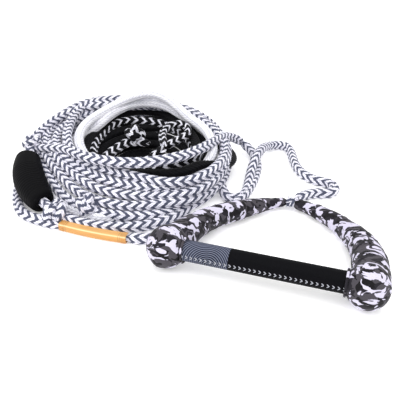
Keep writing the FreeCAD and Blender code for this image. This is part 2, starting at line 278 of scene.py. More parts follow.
CLOTH_PRESSURE, CLOTH_FRAMES = 4, 20


def laid_line(points, closed=False):
    """The smooth line through control points that are given in millimetres."""
    curve = bpy.data.curves.new("line", "CURVE")
    curve.dimensions = "3D"
    curve.resolution_u = 12
    spline = curve.splines.new("NURBS")
    spline.points.add(len(points) - 1)
    for control, place in zip(spline.points, points):
        control.co = (place[0] * 0.001, place[1] * 0.001, place[2] * 0.001, 1)
    spline.order_u = 3
    spline.use_cyclic_u = closed
    spline.use_endpoint_u = not closed
    holder = bpy.data.objects.new("line", curve)
    mesh = bpy.data.meshes.new_from_object(holder)
    line = np.array([v.co for v in mesh.vertices], float)
    if closed:
        line = np.vstack([line, line[:1]])
    bpy.data.objects.remove(holder)
    return line


def distances(line):
    """How far along a line each of its points is."""
    return np.r_[0, np.cumsum(np.linalg.norm(np.diff(line, axis=0), axis=1))]


def evenly(line, step):
    """The line at equal steps, with two side vectors at each that don't twist."""
    far = distances(line)
    count = max(int(round(far[-1] / step)), 4)
    at = np.linspace(0, far[-1], count + 1)
    path = np.stack([np.interp(at, far, line[:, k]) for k in range(3)], 1)
    ahead = np.gradient(path, axis=0)
    ahead /= np.linalg.norm(ahead, axis=1)[:, None]
    side = np.cross(ahead[0], (0.0, 0.0, 1.0))
    if np.linalg.norm(side) < 0.1:
        side = np.cross(ahead[0], (0.0, 1.0, 0.0))
    sides = []
    for direction in ahead:
        side = side - direction * side.dot(direction)
        side = side / np.linalg.norm(side)
        sides.append(side)
    sides = np.array(sides)
    return at, path, sides, np.cross(ahead, sides)


def skinned(name, points):
    """A closed piece through rings of points: points[ring, place round it] is x, y and z."""
    rings, around = points.shape[:2]
    index = np.arange(rings * around).reshape(rings, around)
    low, high = index[:-1], index[1:]
    quads = np.stack([low, np.roll(low, -1, 1), np.roll(high, -1, 1), high], 2).reshape(-1, 4)
    ends = [index[0][::-1].tolist(), index[-1].tolist()]
    mesh = bpy.data.meshes.new(name)
    mesh.from_pydata(points.reshape(-1, 3).tolist(), [], quads.tolist() + ends)
    mesh.update()
    piece = bpy.data.objects.new(name, mesh)
    bpy.context.collection.objects.link(piece)
    return piece


def ringed(name, path, side, up, radii, around=32):
    """A closed round form along a path, with a radius for each of its rings."""
    angle = np.arange(around) * 2 * np.pi / around
    return skinned(name, path[:, None] + radii[:, None, None] * (
        np.cos(angle)[None, :, None] * side[:, None] + np.sin(angle)[None, :, None] * up[:, None]))


def apply_modifier(piece, modifier):
    """Makes the modifier's result the piece's own mesh."""
    deselect_all()
    piece.select_set(True)
    bpy.context.view_layer.objects.active = piece
    bpy.ops.object.modifier_apply(modifier=modifier.name)


def smooth_all(piece):
    """Smooth shading on every face."""
    piece.data.polygons.foreach_set("use_smooth", [True] * len(piece.data.polygons))


def places(mesh):
    """The mesh's points as an array."""
    found = np.empty(len(mesh.vertices) * 3, np.float32)
    mesh.vertices.foreach_get("co", found)
    return found.reshape(-1, 3).astype(float)


def put(mesh, found):
    """Moves the mesh's points to the array's places."""
    mesh.vertices.foreach_set("co", found.astype(np.float32).ravel())
    mesh.update()


def swell(piece, cap):
    """The cover filled by its foam: cloth under pressure, no point moving more than cap."""
    start = places(piece.data)
    cloth = piece.modifiers.new("cloth", "CLOTH")
    cloth.settings.use_pressure = True
    cloth.settings.uniform_pressure_force = CLOTH_PRESSURE
    cloth.settings.effector_weights.gravity = 0
    for moment in range(1, CLOTH_FRAMES + 1):
        bpy.context.scene.frame_set(moment)
    moved = places(piece.evaluated_get(bpy.context.evaluated_depsgraph_get()).data)
    piece.modifiers.remove(cloth)
    bpy.context.scene.frame_set(1)
    step = moved - start
    far = np.linalg.norm(step, axis=1)[:, None]
    put(piece.data, start + step * np.minimum(1, cap / np.maximum(far, 1e-9)))


camo, nodes, links, shader = new_finish("camo_neoprene", (0.1, 0.09, 0.1), 0.72)
flow = object_place(nodes, links, (40, 78, 78))
tips = add_noise(nodes, links, flow, 1.0, 2.0, 0.5, 1.1)
under = add_noise(nodes, links, object_place(nodes, links, (34, 66, 66), (3.1, 1.7, 5.2)), 1.0, 2.0, 0.5, 0.9)
shadow_flow = object_place(nodes, links, (42, 84, 84), (7.3, 9.1, 2.4))
shadow = add_noise(nodes, links, shadow_flow, 1.0, 1.5, 0.5, 0.9)
ground = add_mix(nodes, links, add_ramp(nodes, links, under, [(0.49, NONE), (0.505, FULL)]),
                 (0.016, 0.014, 0.020), (0.064, 0.058, 0.070))
ground = add_mix(nodes, links, add_ramp(nodes, links, shadow, [(0.44, FULL), (0.452, NONE)]), ground,
                 (0.006, 0.005, 0.007))
tipped = add_mix(nodes, links, add_ramp(nodes, links, tips, [(0.54, NONE), (0.55, FULL)]), ground,
                 (0.64, 0.61, 0.75))
knit = add_noise(nodes, links, object_place(nodes, links, (1300, 1300, 1300)), 1.0, 2)
faded = add_mix(nodes, links, 1.0, tipped, add_ramp(nodes, links, knit, [
    (0.3, (0.82,) * 3), (0.7, (1.08,) * 3)]), "MULTIPLY")
links.new(faded, shader.inputs["Base Color"])
shader.inputs["Specular IOR Level"].default_value = 0.15
shader.inputs["Sheen Weight"].default_value = 0.06
shader.inputs["Sheen Roughness"].default_value = 0.5
pucker = add_noise(nodes, links, object_place(nodes, links, (40, 190, 190)), 1.0, 2, 0.5, 0.5)
add_bump(nodes, links, shader, pucker, 0.0022, 0.35)
add_bump(nodes, links, shader, knit, 0.00025, 0.6)

binding, nodes, links, shader = new_finish("black_binding", (0.014, 0.013, 0.016), 0.8)
rib = add_noise(nodes, links, object_place(nodes, links, (1800, 1800, 1800)), 1.0, 2)
links.new(add_ramp(nodes, links, rib, [(0.3, (0.009, 0.008, 0.01)), (0.7, (0.03, 0.028, 0.033))]),
          shader.inputs["Base Color"])
add_bump(nodes, links, shader, rib, 0.0003, 0.6)

for side_name, hand in (("left", -1), ("right", 1)):
    stations = LEGS[side_name]
    line = laid_line([s[:3] for s in stations])
    at, path, side, up = evenly(line, LEG_STEP)
    station_far = distances(np.array([s[:3] for s in stations], float))
    radii = np.interp(at / at[-1], station_far / station_far[-1], [s[3] * 0.0005 for s in stations])
    radii[-2:] *= (0.85, 0.6)
    leg = ringed("leg_" + side_name, path, side, up, radii)
    deselect_all()
    bpy.ops.mesh.primitive_uv_sphere_add(segments=40, ring_count=24, radius=1.0,
                                         location=(hand * PAD_X, BAR_Y, BAR_Z))
    pad = bpy.context.object
    pad.scale = (PAD_HALF, PAD_RADIUS, PAD_RADIUS)
    sewn = join_pieces("padded_" + side_name, [pad, leg])
    remesh = sewn.modifiers.new("remesh", "REMESH")
    remesh.mode = "VOXEL"
    remesh.voxel_size = COVER_VOXEL
    apply_modifier(sewn, remesh)
    relax = sewn.modifiers.new("relax", "SMOOTH")
    relax.factor, relax.iterations = 0.6, 4
    apply_modifier(sewn, relax)
    swell(sewn, COVER_SWELL)
    finer = sewn.modifiers.new("finer", "SUBSURF")
    finer.levels = finer.render_levels = 1
    apply_modifier(sewn, finer)

    # Gathers run across the leg and round the pad.
    skin = places(sewn.data)
    normals = np.empty(len(skin) * 3, np.float32)
    sewn.data.vertices.foreach_get("normal", normals)
    normals = normals.reshape(-1, 3)
    nearest = np.argmin(((skin[:, None, :] - path[None, ::3, :]) ** 2).sum(2), axis=1)
    run = at[::3][nearest]
    outward = np.array([hand, 0.0, 0.0])
    reach = np.clip(((skin - path[::3][nearest]) @ outward) / radii[::3][nearest], -1, 1)
    gather, fine_gather = (np.array([
        mathutils_noise.noise(Vector((r * often, s * across, hand * apart))) for r, s in zip(run, reach)])
        for often, across, apart in ((150, 1.3, 5.0), (340, 2.0, 9.0)))
    lift = GATHER_DEPTH * gather + FINE_GATHER_DEPTH * fine_gather
    skin += normals * lift[:, None]
    skin[:, 2] = np.maximum(skin[:, 2], FLOOR_GAP)
    put(sewn.data, skin)

    deselect_all()
    bpy.ops.mesh.primitive_cylinder_add(vertices=64, radius=POCKET_RADIUS, depth=POCKET_END - POCKET_START,
                                        location=(hand * (POCKET_END + POCKET_START) / 2, BAR_Y, BAR_Z),
                                        rotation=(0, math.pi / 2, 0))
    plunger = bpy.context.object
    pocket = sewn.modifiers.new("pocket", "BOOLEAN")
    pocket.operation, pocket.solver, pocket.object = "DIFFERENCE", "EXACT", plunger
    apply_modifier(sewn, pocket)
    bpy.data.objects.remove(plunger)
    smooth_all(sewn)
    dress(sewn, camo)
    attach(sewn, "root")
    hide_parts("leg_cover_" + side_name, "leg_foam_" + side_name, "pad_cover_" + side_name,
                "pad_foam_" + side_name)

    # The mouth's binding, and the taped seam along the leg's outer edge and over the pad.
    deselect_all()
    bpy.ops.mesh.primitive_torus_add(major_radius=MOUTH_RADIUS, minor_radius=MOUTH_CORD_RADIUS,
                                     major_segments=72, minor_segments=12,
                                     location=(hand * MOUTH_X, BAR_Y, BAR_Z), rotation=(0, math.pi / 2, 0))
    mouth = bpy.context.object
    smooth_all(mouth)
    dress(mouth, camo)
    across = np.cross(np.gradient(path, axis=0), (0, 0, 1.0)) * hand
    across /= np.linalg.norm(across, axis=1)[:, None]
    pad_middle = Vector((hand * PAD_X, BAR_Y, BAR_Z))
    beams = [(pad_middle, Vector((hand * math.cos(a), math.sin(a), -0.25)).normalized())
             for a in np.radians(np.arange(-100, 21, 8))]
    beams += [(Vector(p), Vector(a)) for p, a in zip(path[8:-3:2], across[8:-3:2])]
    edge = []
    for start, heading in beams:
        met, spot, _, _ = sewn.ray_cast(start, heading)
        if met:
            edge.append([c * 1000 for c in spot + heading * SEAM_PROUD])
    _, seam_path, seam_side, seam_up = evenly(laid_line(edge), SEAM_STEP)
    tape = ringed("tape", seam_path, seam_side, seam_up, np.full(len(seam_path), SEAM_RADIUS), 10)
    smooth_all(tape)
    dress(tape, binding)
    trim = join_pieces("pad_trim_" + side_name, [mouth, tape])
    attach(trim, "root")

load_rope, nodes, links, shader = new_finish("load_rope", (0.7, 0.7, 0.74), 0.6)
lay = add_noise(nodes, links, object_place(nodes, links, (500, 500, 500)), 1.0, 2)
links.new(add_ramp(nodes, links, lay, [(0.35, (0.4, 0.4, 0.45)), (0.65, (0.8, 0.8, 0.84))]),
          shader.inputs["Base Color"])
add_bump(nodes, links, shader, lay, 0.0006, 0.6)
dress(node["bridle_rope"], load_rope)

# ------------------------------------------------------------------------------------------------
# The tow rope: hollow-braided polypropylene, one line of sections spliced end to end. Each colour
# is a section: white and slate grey, then white, black, and black with white at the eye. It starts
# at the bridle's apex, makes one wide loose turn and is then wound by hand on the coil.

ROPE_RADIUS = 0.008
YARN = 0.0068              # length of rope that one band of yarn takes
YARN_RISE = 0.0112         # how far a yarn runs along the rope while it crosses one column
COLUMNS, SEGMENTS = 6, 5
RINGS_PER_YARN = 4
GROOVE, CROWN = 0.88, 0.14   # shares of the radius: down between yarns, and a yarn's rise above that


def braid(name, line, radius=ROPE_RADIUS, turn=6.0, phase=0.0, segments=SEGMENTS, yarn=YARN,
          rise=YARN_RISE, thin_ends=True, girth=None):
    """A hollow braid on a line: columns of yarns that lean left and right by turns, each yarn
    raised in its middle. The UV map counts columns across and yarns along. girth gives a share
    of the radius for each point of the line, where something presses the rope."""
    at, path, side, up = evenly(line, yarn / RINGS_PER_YARN)
    rings, around = len(at), COLUMNS * segments
    column = np.arange(around) / segments
    within = column - np.floor(column)
    lean = np.where(np.floor(column) % 2 == 0, within - 0.5, 0.5 - within) * rise
    along = np.clip(at[:, None] + lean[None, :], at[0], at[-1])
    centre, across, above = (np.stack([np.interp(along, at, v[:, k]) for k in range(3)], 2)
                             for v in (path, side, up))
    count = at / yarn + phase
    bulge = 1 - np.abs(2 * (count % 1.0) - 1) ** 2.4
    dip = 1 - 0.5 * np.abs(2 * within - 1) ** 3
    height = radius * (GROOVE + CROWN * bulge[:, None] * dip[None, :])
    if girth is not None:
        height = height * np.interp(along, at, girth(path))
    if thin_ends:
        near_end = np.minimum(at, at[-1] - at)[:, None] / (1.2 * radius)
        height = height * np.clip(0.35 + 0.65 * near_end, 0, 1)
    angle = (2 * np.pi * column / COLUMNS)[None, :] + turn * along
    outward = np.cos(angle)[:, :, None] * across + np.sin(angle)[:, :, None] * above
    piece = skinned(name, centre + height[:, :, None] * outward)
    uv_map = piece.data.uv_layers.new(name="yarns")
    first = np.tile(np.arange(around), rings - 1)
    low, high = np.repeat(count[:-1], around), np.repeat(count[1:], around)
    corners = np.stack([first / segments, low, (first + 1) / segments, low,
                        (first + 1) / segments, high, first / segments, high], 1).reshape(-1, 2)
    uvs = np.full((len(piece.data.loops), 2), 0.5)
    uvs[: len(corners)] = corners
    uv_map.data.foreach_set("uv", uvs.astype(np.float32).ravel())
    piece.data.update()
    smooth_all(piece)
    return piece, path


YARN_STRAY = 1.15            # how far the bands' edges wander, in yarns


def braid_finish(name, bands, roughness=0.62, streak=0.62):
    """Bands of coloured yarn by the UV map's yarn count, with the filaments' fine streaks, and painted
    shade where a yarn dives under the next."""
    finish, nodes, links, shader = new_finish(name, bands[0], roughness)
    uv = nodes.new("ShaderNodeUVMap")
    uv.uv_map = "yarns"
    part = nodes.new("ShaderNodeSeparateXYZ")
    links.new(uv.outputs["UV"], part.inputs[0])
    ragged = nodes.new("ShaderNodeMapping")
    ragged.inputs["Scale"].default_value = (3.0, 0.8, 1)
    links.new(uv.outputs["UV"], ragged.inputs["Vector"])
    stray = add_noise(nodes, links, ragged.outputs["Vector"], 2.0, 2.5, 0.62)
    strayed = add_math(nodes, links, "MULTIPLY_ADD", stray, YARN_STRAY, part.outputs["Y"])
    place = add_math(nodes, links, "FRACT", add_math(nodes, links, "DIVIDE", strayed, float(len(bands))))
    colour = add_ramp(nodes, links, place, [(i / len(bands), c) for i, c in enumerate(bands)], "CONSTANT")
    stretch = nodes.new("ShaderNodeMapping")
    stretch.inputs["Scale"].default_value = (0.55, 9.0, 1)
    links.new(uv.outputs["UV"], stretch.inputs["Vector"])
    filament = add_noise(nodes, links, stretch.outputs["Vector"], 1.6, 3, 0.6)
    patch = add_noise(nodes, links, object_place(nodes, links), 60, 2)
    colour = add_mix(nodes, links, 1.0, colour, add_ramp(
        nodes, links, filament, [
            (0.28, (streak, streak, streak + 0.05)), (0.5, (0.97,) * 3), (0.75, (1.15,) * 3)]), "MULTIPLY")
    colour = add_mix(nodes, links, 1.0, colour, add_ramp(
        nodes, links, patch, [(0.3, (0.88, 0.88, 0.90)), (0.7, (1.06,) * 3)]), "MULTIPLY")
    # Painted shade: darker towards the edges of each yarn, where it dives under the next.
    edge_v = add_math(nodes, links, "ABSOLUTE", add_math(nodes, links, "MULTIPLY_ADD", add_math(
        nodes, links, "FRACT", part.outputs["Y"]), 2.0, -1.0))
    edge_u = add_math(nodes, links, "ABSOLUTE", add_math(nodes, links, "MULTIPLY_ADD", add_math(
        nodes, links, "FRACT", part.outputs["X"]), 2.0, -1.0))
    painted_groove_shade = add_math(nodes, links, "MAXIMUM", edge_v, edge_u)
    colour = add_mix(nodes, links, 1.0, colour, add_ramp(
        nodes, links, painted_groove_shade, [(0.75, FULL), (1.0, (0.55, 0.55, 0.6))]), "MULTIPLY")
    links.new(colour, shader.inputs["Base Color"])
    shader.inputs["Specular IOR Level"].default_value = 0.1
    shader.inputs["Sheen Weight"].default_value = 0.08
    shader.inputs["Sheen Roughness"].default_value = 0.4
    add_bump(nodes, links, shader, filament, 0.0004, 0.5)
    return finish


white_grey = braid_finish("braid_white_grey", [(0.92, 0.91, 0.98), (0.105, 0.114, 0.165)])
all_white = braid_finish("braid_white", [(0.93, 0.93, 0.96), (0.90, 0.90, 0.94)], streak=0.85)
all_black = braid_finish("braid_black", [(0.003, 0.003, 0.004), (0.005, 0.005, 0.007)])
black_white = braid_finish("braid_black_white", [
    (0.004, 0.004, 0.006), (0.004, 0.004, 0.006), (0.86, 0.86, 0.92)])

COIL_MIDDLE, COIL_STEP = (-262, 135), 15      # millimetres, and degrees between control points


def wound(*turns):
    """Control points of a stretch on the coil. Each entry is the direction in degrees from the
    coil's middle, 0 to the right and 90 to the back, then the radius and height there."""
    angles = np.array([t[0] for t in turns], float)
    count = max(int(abs(angles[-1] - angles[0]) / COIL_STEP), 3)
    order = np.argsort(angles)
    at = np.linspace(angles[0], angles[-1], count + 1)
    table = np.array(turns, float)[order]
    radius, height = (np.interp(at, table[:, 0], table[:, k]) for k in (1, 2))
    x = COIL_MIDDLE[0] + radius * np.cos(np.radians(at))
    y = COIL_MIDDLE[1] + radius * np.sin(np.radians(at))
    return list(zip(x.tolist(), y.tolist(), height.tolist()))


# First section, white and slate grey, from the bridle's apex by the free turn to the coil.
# From the apex through its hairpin to the fold at the coil's foot.
LEAD = [
    (7, 114, 10), (16, 134, 8), (31, 147, 8), (44, 149, 8), (54, 154, 8), (60, 165, 8), (58, 177, 8),
    (49, 185, 8), (36, 187, 8), (22, 190, 8), (5, 201, 8), (-11, 223, 8), (-23, 254, 8), (-32, 283, 8),
    (-41, 299, 8), (-55, 304, 8), (-68, 297, 9), (-74, 281, 13), (-77, 258, 21), (-77, 230, 28),
    (-79, 200, 28), (-78, 168, 17), (-74, 136, 10), (-72, 112, 8), (-75, 96, 8), (-86, 87, 8),
    (-99, 91, 9), (-108, 105, 11), (-122, 126, 16)]
# The wide loose turn on the ground round the coil, through the marker sleeve.
FREE_TURN = [
    (-372, 274, 36), (-406, 260, 32), (-430, 234, 26), (-448, 200, 20), (-460, 164, 13), (-462, 126, 9),
    (-457, 87, 8), (-442, 49, 8), (-422, 12, 8), (-398, -28, 8), (-370, -54.5, 8), (-334, -59.6, 7.4),
    (-295, -61, 6.6), (-250, -62.6, 6.6), (-205, -60.4, 6.6), (-167, -53, 7.4), (-143, -32, 8),
    (-122, -1, 8), (-101, 29, 8), (-83, 64, 8), (-73, 99, 8), (-70, 133, 8), (-71, 172, 8),
    (-76, 208, 8), (-88, 238, 10), (-102, 257, 14), (-120, 264, 22)]
# Over the opening as a chord, then low round the coil's foot.
CHORD_TURNS = [
    (-120, 264, 22), (-129, 252, 33), (-134, 236, 42), (-138, 216, 51), (-140, 192, 58)] + wound(
    (15, 124, 63), (7, 119, 66), (-9, 113, 70), (-22, 113, 74), (-43, 116, 78), (-72, 115, 78),
    (-98, 111, 75), (-118, 114, 73), (-136, 118, 71), (-144, 132, 68), (-152, 160, 58), (-158, 182, 46),
    (-166, 191, 42), (-182, 192, 50), (-197, 193, 57), (-212, 202, 64), (-223, 190, 70),
    (-231, 175, 72), (-248, 162, 66), (-262, 156, 64), (-274, 152, 66), (-292, 154, 58),
    (-303, 151, 54), (-323, 145, 46), (-343, 144, 36), (-354, 143, 30), (-366, 148, 24),
    (-376, 150, 18), (-384, 152, 14), (-400, 150, 9), (-422, 152, 8), (-442, 160, 8), (-458, 167, 9),
    (-468, 172, 9), (-484, 175, 9), (-495, 187, 11), (-508, 197, 14), (-525, 190, 18), (-545, 180, 22),
    (-565, 170, 26))
# Round the top of the coil.
UPPER_TURNS = wound(
    (100, 130, 70), (118, 142, 78), (131, 154, 80), (147, 164, 77), (156, 157, 76), (163, 149, 74),
    (178, 130, 74), (193, 120, 73), (209, 117, 71), (226, 115, 66), (236, 112, 63), (254, 108, 60),
    (271, 107, 58), (287, 111, 56), (298, 124, 55), (307, 140, 54), (317, 151, 53), (326, 151, 51),
    (338, 148, 50), (354, 145, 49), (376, 143, 50), (391, 138, 55), (418, 131, 64), (435, 134, 68),
    (455, 138, 68), (475, 144, 66), (500, 150, 64), (540, 146, 62), (565, 136, 62), (579, 130, 61),
    (594, 121, 57), (611, 119, 52), (626, 120, 49), (640, 122, 46), (654, 129, 45), (666, 138, 45),
    (678, 146, 45), (688, 147, 45), (702, 148, 42), (717, 148, 41), (735, 147, 40), (760, 148, 46),
    (800, 158, 52), (840, 168, 56), (880, 172, 58), (910, 164, 58), (930, 148, 56))
# The broad band of turns at the front, and down to the ground.
FRONT_TURNS = wound(
    (200, 150, 60), (212, 142, 57), (220, 139, 55), (234, 132, 50), (248, 130, 44), (262, 134, 40),
    (273, 134, 37), (286, 137, 35), (298, 139, 35), (310, 146, 36), (318, 157, 36), (328, 158, 36),
    (339, 153, 36), (360, 146, 34), (400, 150, 36), (450, 160, 44), (500, 172, 50), (540, 178, 52),
    (565, 165, 50), (577, 147, 47), (591, 143, 42), (604, 144, 36), (616, 146, 30), (627, 149, 27),
    (638, 149, 25), (648, 150, 24), (658, 151, 25), (666, 154, 27), (673, 160, 28), (690, 157, 24),
    (720, 147, 20), (770, 151, 22), (820, 176, 32), (870, 184, 38), (910, 176, 40), (930, 162, 38),
    (937, 156, 38), (950, 156, 33), (961, 158, 27), (972, 162, 22), (980, 163, 18), (989, 160, 16),
    (998, 159, 14), (1008, 162, 14), (1016, 165, 14), (1023, 163, 16), (1040, 150, 12), (1070, 143, 10),
    (1100, 147, 10), (1140, 158, 12), (1180, 164, 13), (1220, 148, 14))
# Second stretch of the same section: down the coil's left side, through the float and along the front.
FLOAT_CENTRE, FLOAT_LEAN, FLOAT_BEND = (-256.6, 105.6, 70.6), math.radians(18.2), 172.6


def float_place(degrees, bend=FLOAT_BEND):
    """A point on the float's arc, in millimetres."""
    turn = math.radians(degrees)
    return (FLOAT_CENTRE[0] + bend * math.cos(turn),
            FLOAT_CENTRE[1] + bend * math.sin(turn) * math.cos(FLOAT_LEAN),
            FLOAT_CENTRE[2] + bend * math.sin(turn) * math.sin(FLOAT_LEAN))


THROUGH_THE_FLOAT = [float_place(246.5 - 15 * i, FLOAT_BEND + 1.5) for i in range(5)][::-1]
FLOAT_TURN = wound(
    (128, 148, 68), (137, 148, 76), (147, 147, 76), (158, 157, 74), (171, 170, 70), (182, 169, 66),
    (189, 172, 64)) + THROUGH_THE_FLOAT + wound(
    (259, 186, 10), (271, 185, 8.5), (287, 184, 8), (299, 179, 9), (311, 168, 8), (319, 158, 8),
    (326, 148, 9))
# White: up over the coil's back edge, round the opening and down under the rest.
WHITE_TURNS = wound(
    (300, 98, 34), (270, 96, 36), (250, 96, 46), (228, 97, 60), (206, 99, 69), (188, 99, 73),
    (170, 101, 76), (154, 105, 77), (140, 118, 78), (131, 125, 81), (121, 127, 88), (108, 125, 97),
    (98, 127, 97), (88, 122, 90), (76, 112, 82), (66, 106, 75), (58, 108, 70), (46, 113, 66),
    (34, 118, 62), (23, 121, 58), (12, 123, 54), (0, 126, 50), (-9, 126, 45), (-17, 122, 39),
    (-35, 114, 28), (-60, 125, 15), (-75, 155, 10), (-89, 168, 11), (-106, 168, 13), (-115, 167, 15),
    (-127, 165, 19), (-137, 164, 23), (-148, 165, 27), (-165, 150, 36), (-180, 112, 48), (-189, 96, 60),
    (-202, 93, 66), (-220, 109, 70), (-230, 125, 71), (-239, 133, 74), (-251, 131, 76), (-261, 132, 76),
    (-273, 124, 74), (-285, 116, 68), (-302, 120, 58), (-320, 124, 50), (-345, 124, 42),
    (-370, 120, 34), (-395, 112, 26), (-420, 108, 20))
# Black: round the opening, then down inside it in ever smaller turns.
BLACK_TURNS = wound(
    (60, 122, 34), (40, 142, 31), (26, 154, 30), (17, 159, 30), (8, 157, 28), (-3, 138, 40),
    (-11, 118, 50), (-23, 120, 50), (-36, 119, 50), (-46, 110, 50), (-57, 96, 50), (-80, 86, 44),
    (-100, 84, 38), (-125, 86, 38), (-155, 90, 44), (-177, 94, 50), (-191, 95, 51), (-212, 110, 52),
    (-227, 138, 53), (-239, 150, 54), (-250, 150, 54), (-261, 145, 53), (-274, 127, 52),
    (-290, 109, 50), (-308, 99, 50), (-322, 97, 49), (-345, 94, 42), (-375, 90, 36), (-450, 86, 32),
    (-540, 94, 38), (-585, 122, 43), (-630, 130, 44), (-675, 118, 42), (-720, 98, 36), (-810, 86, 28),
    (-900, 90, 30), (-945, 104, 35), (-990, 112, 37), (-1035, 102, 34), (-1080, 92, 28),
    (-1170, 80, 22), (-1260, 80, 22), (-1305, 88, 27), (-1350, 92, 28), (-1395, 86, 25),
    (-1440, 76, 20), (-1530, 64, 14), (-1620, 64, 15), (-1665, 72, 18), (-1710, 75, 19),
    (-1755, 70, 17), (-1800, 60, 13), (-1890, 48, 9), (-1980, 46, 9), (-2025, 54, 10), (-2070, 57, 10),
    (-2115, 52, 9), (-2160, 44, 9))
# Black with white: round inside the opening, out over its edge and back to the eye.
EYE_TURNS = wound(
    (92, 44, 36), (133, 54, 36), (163, 48, 35), (200, 56, 32), (225, 70, 32), (245, 78, 36),
    (265, 80, 38), (290, 84, 44), (308, 94, 54), (320, 97, 56), (334, 98, 56), (344, 103, 56),
    (358, 103, 48), (375, 98, 40), (395, 92, 36), (420, 98, 38), (440, 106, 42), (457, 113, 45),
    (465, 115, 46), (478, 121, 46), (489, 128, 46), (500, 117, 45), (515, 100, 43), (540, 83, 41),
    (559, 80, 40), (580, 74, 36), (605, 62, 32), (630, 52, 32), (660, 44, 40), (690, 44, 50),
    (712, 47, 58))
EYE_RADIUS, EYE_YARN = 0.0066, 0.0056     # the eye's rope is a little slimmer, its yarns closer
# The tow eye: the line's own end, led round and tucked back into it.
TOW_EYE = [
    (-216, 128, 60), (-222, 142, 61), (-233, 162, 60), (-239, 185, 60), (-236, 206, 62),
    (-224, 217, 63), (-210, 215, 62), (-200, 203, 60), (-197, 187, 58), (-203, 170, 57),
    (-211, 152, 57), (-212, 136, 58)]


SLEEVE_X, SLEEVE_HALF, SLEEVE_FADE, SLEEVE_BACK, PRESSED = -0.250, 0.0530, 0.008, -0.03, 0.57


def in_the_sleeve(path):
    """The rope is pressed slim where the sleeve is crimped on it, in front of SLEEVE_BACK."""
    outside = np.clip((np.abs(path[:, 0] - SLEEVE_X) - SLEEVE_HALF) / SLEEVE_FADE, 0, 1)
    eased = outside * outside * (3 - 2 * outside)
    return np.where(path[:, 1] < SLEEVE_BACK, PRESSED + (1 - PRESSED) * eased, 1.0)


KNOT_POINTS, KNOT_ROPE = 18, 0.00042          # points round it; rope radius in metres per mm of size
KNOT_TURN, KNOT_WAVE, KNOT_RISE = 0.50, 0.27, 0.42      # shares of its size


def overhand(name, middle, turned, size, finish, stands_for):
    """A small pulled-tight knot of the same braid: one overhand turn, closed on itself."""
    ring = []
    for i in range(KNOT_POINTS):
        t = 2 * math.pi * i / KNOT_POINTS
        far = size * (KNOT_TURN + KNOT_WAVE * math.cos(3 * t))
        ring.append(Matrix.Rotation(turned, 3, "Y") @ Vector((
            far * math.cos(2 * t), far * math.sin(2 * t), size * KNOT_RISE * math.sin(3 * t))))
    line = laid_line([(middle[0] + p.x, middle[1] + p.y, middle[2] + p.z) for p in ring], closed=True)
    piece, path = braid(name, line, radius=KNOT_ROPE * size, turn=9.0, segments=3, yarn=0.0042, rise=0.0052,
                        thin_ends=False)
    dress(piece, finish)
    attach(piece, "root")
    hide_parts(*stands_for)
    return piece


knot_upper = overhand("knot_upper_braid", float_place(192), 0.4, 16,
                      white_grey, ("knot_upper",))
knot_lower = overhand("knot_lower_braid", float_place(249.2), -0.5, 19,
                      white_grey, ("knot_lower",))
knot_grey = overhand("knot_grey_braid", (-276, -25, 25), 1.2, 18,
                     white_grey, ("knot_grey",))
knot_eye = overhand("knot_eye_braid", (-292, 182, 47), 0.9, 18,
                    black_white, ("knot_eye",))
apex, path = braid("apex_whipping", laid_line([(-2, 93, 11), (3, 104, 12), (8, 115, 10.5)]),
                   radius=0.0102, turn=4.0, yarn=0.0052)
dress(apex, white_grey)
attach(apex, "root")
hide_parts("apex_splice")

for name, points, finish, stands_for, slot_name, on_it in (
        ("rope_grey_first", LEAD, white_grey, ("rope_lead",), "rope_white_grey", [apex]),
        ("rope_grey_free_turn", FREE_TURN, white_grey, ("rope_outer_turn",), "rope_white_grey",
         [node["marker_sleeve"], node["sleeve_band_left"], node["sleeve_band_right"]]),
        ("rope_grey_chord_turns", CHORD_TURNS, white_grey, ("coil_grey",), "rope_white_grey", []),
        ("rope_grey_upper_turns", UPPER_TURNS, white_grey, (), "rope_white_grey", []),
        ("rope_grey_front_turns", FRONT_TURNS, white_grey, (), "rope_white_grey", [knot_grey]),
        ("rope_grey_float_turn", FLOAT_TURN, white_grey, ("rope_float_turn",), "rope_white_grey",
         [knot_upper, knot_lower]),
        ("rope_white_turns", WHITE_TURNS, all_white, ("coil_white",), "rope_white", []),
        ("rope_black_turns", BLACK_TURNS, all_black, ("coil_black",), "rope_black", []),
        ("rope_eye_turns", EYE_TURNS, black_white, ("coil_black_white",), "rope_black_white", [knot_eye]),
        ("rope_tow_eye", TOW_EYE, black_white, ("tow_loop",), "rope_black_white", [])):
    line = laid_line(points)
    thick = EYE_RADIUS if name == "rope_tow_eye" else ROPE_RADIUS
    piece, path = braid(name, line, turn=5.0 + 2 * math.sin(len(name)), phase=0.37 * len(name),
                        radius=thick, yarn=EYE_YARN if finish is black_white else YARN,
                        girth=in_the_sleeve if name == "rope_grey_free_turn" else None)
    dress(piece, finish)
    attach(piece, "root")
    if stands_for:
        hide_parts(*stands_for)

# ------------------------------------------------------------------------------------------------
# The float: a bent barrel of black closed-cell foam, moulded round the rope's hole, with fine
# ridges round its lower half. It slides a little between its two knots.

